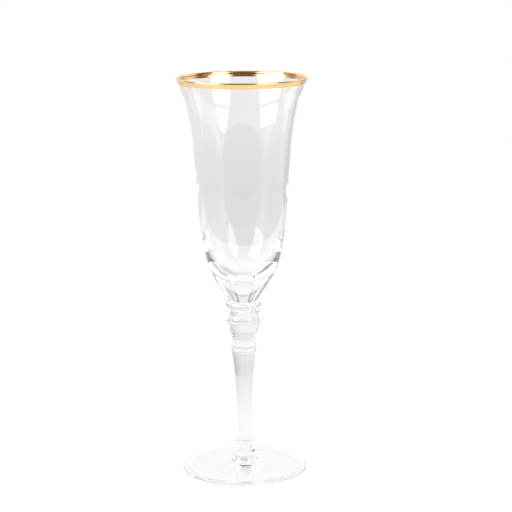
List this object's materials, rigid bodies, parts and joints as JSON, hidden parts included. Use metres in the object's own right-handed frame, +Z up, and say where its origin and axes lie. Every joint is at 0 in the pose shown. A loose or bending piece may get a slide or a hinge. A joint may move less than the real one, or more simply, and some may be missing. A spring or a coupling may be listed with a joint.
{
  "type": "champagne flute",
  "caption": "Tall champagne flute in clear glass: flared bowl with a gilded rim, solid base, beaded and knopped tapered stem, round foot.",
  "frame": {"origin": "centre of the circle on which the foot rests, on the table plane", "axes": "+Z up along the glass's axis of revolution; X and Y are equivalent"},
  "size_m": [0.0764, 0.0764, 0.2351],
  "materials": {
    "clear_glass": "fire-polished clear soda-lime glass",
    "gold": "bright fired gold film"
  },
  "bodies": {
    "root": {"bowl": "clear_glass", "gold_rim_band": "gold", "bowl_bead": "clear_glass", "neck_ring": "clear_glass", "knop": "clear_glass", "stem": "clear_glass", "foot_merese": "clear_glass", "foot": "clear_glass"}
  },
  "joints": []
}
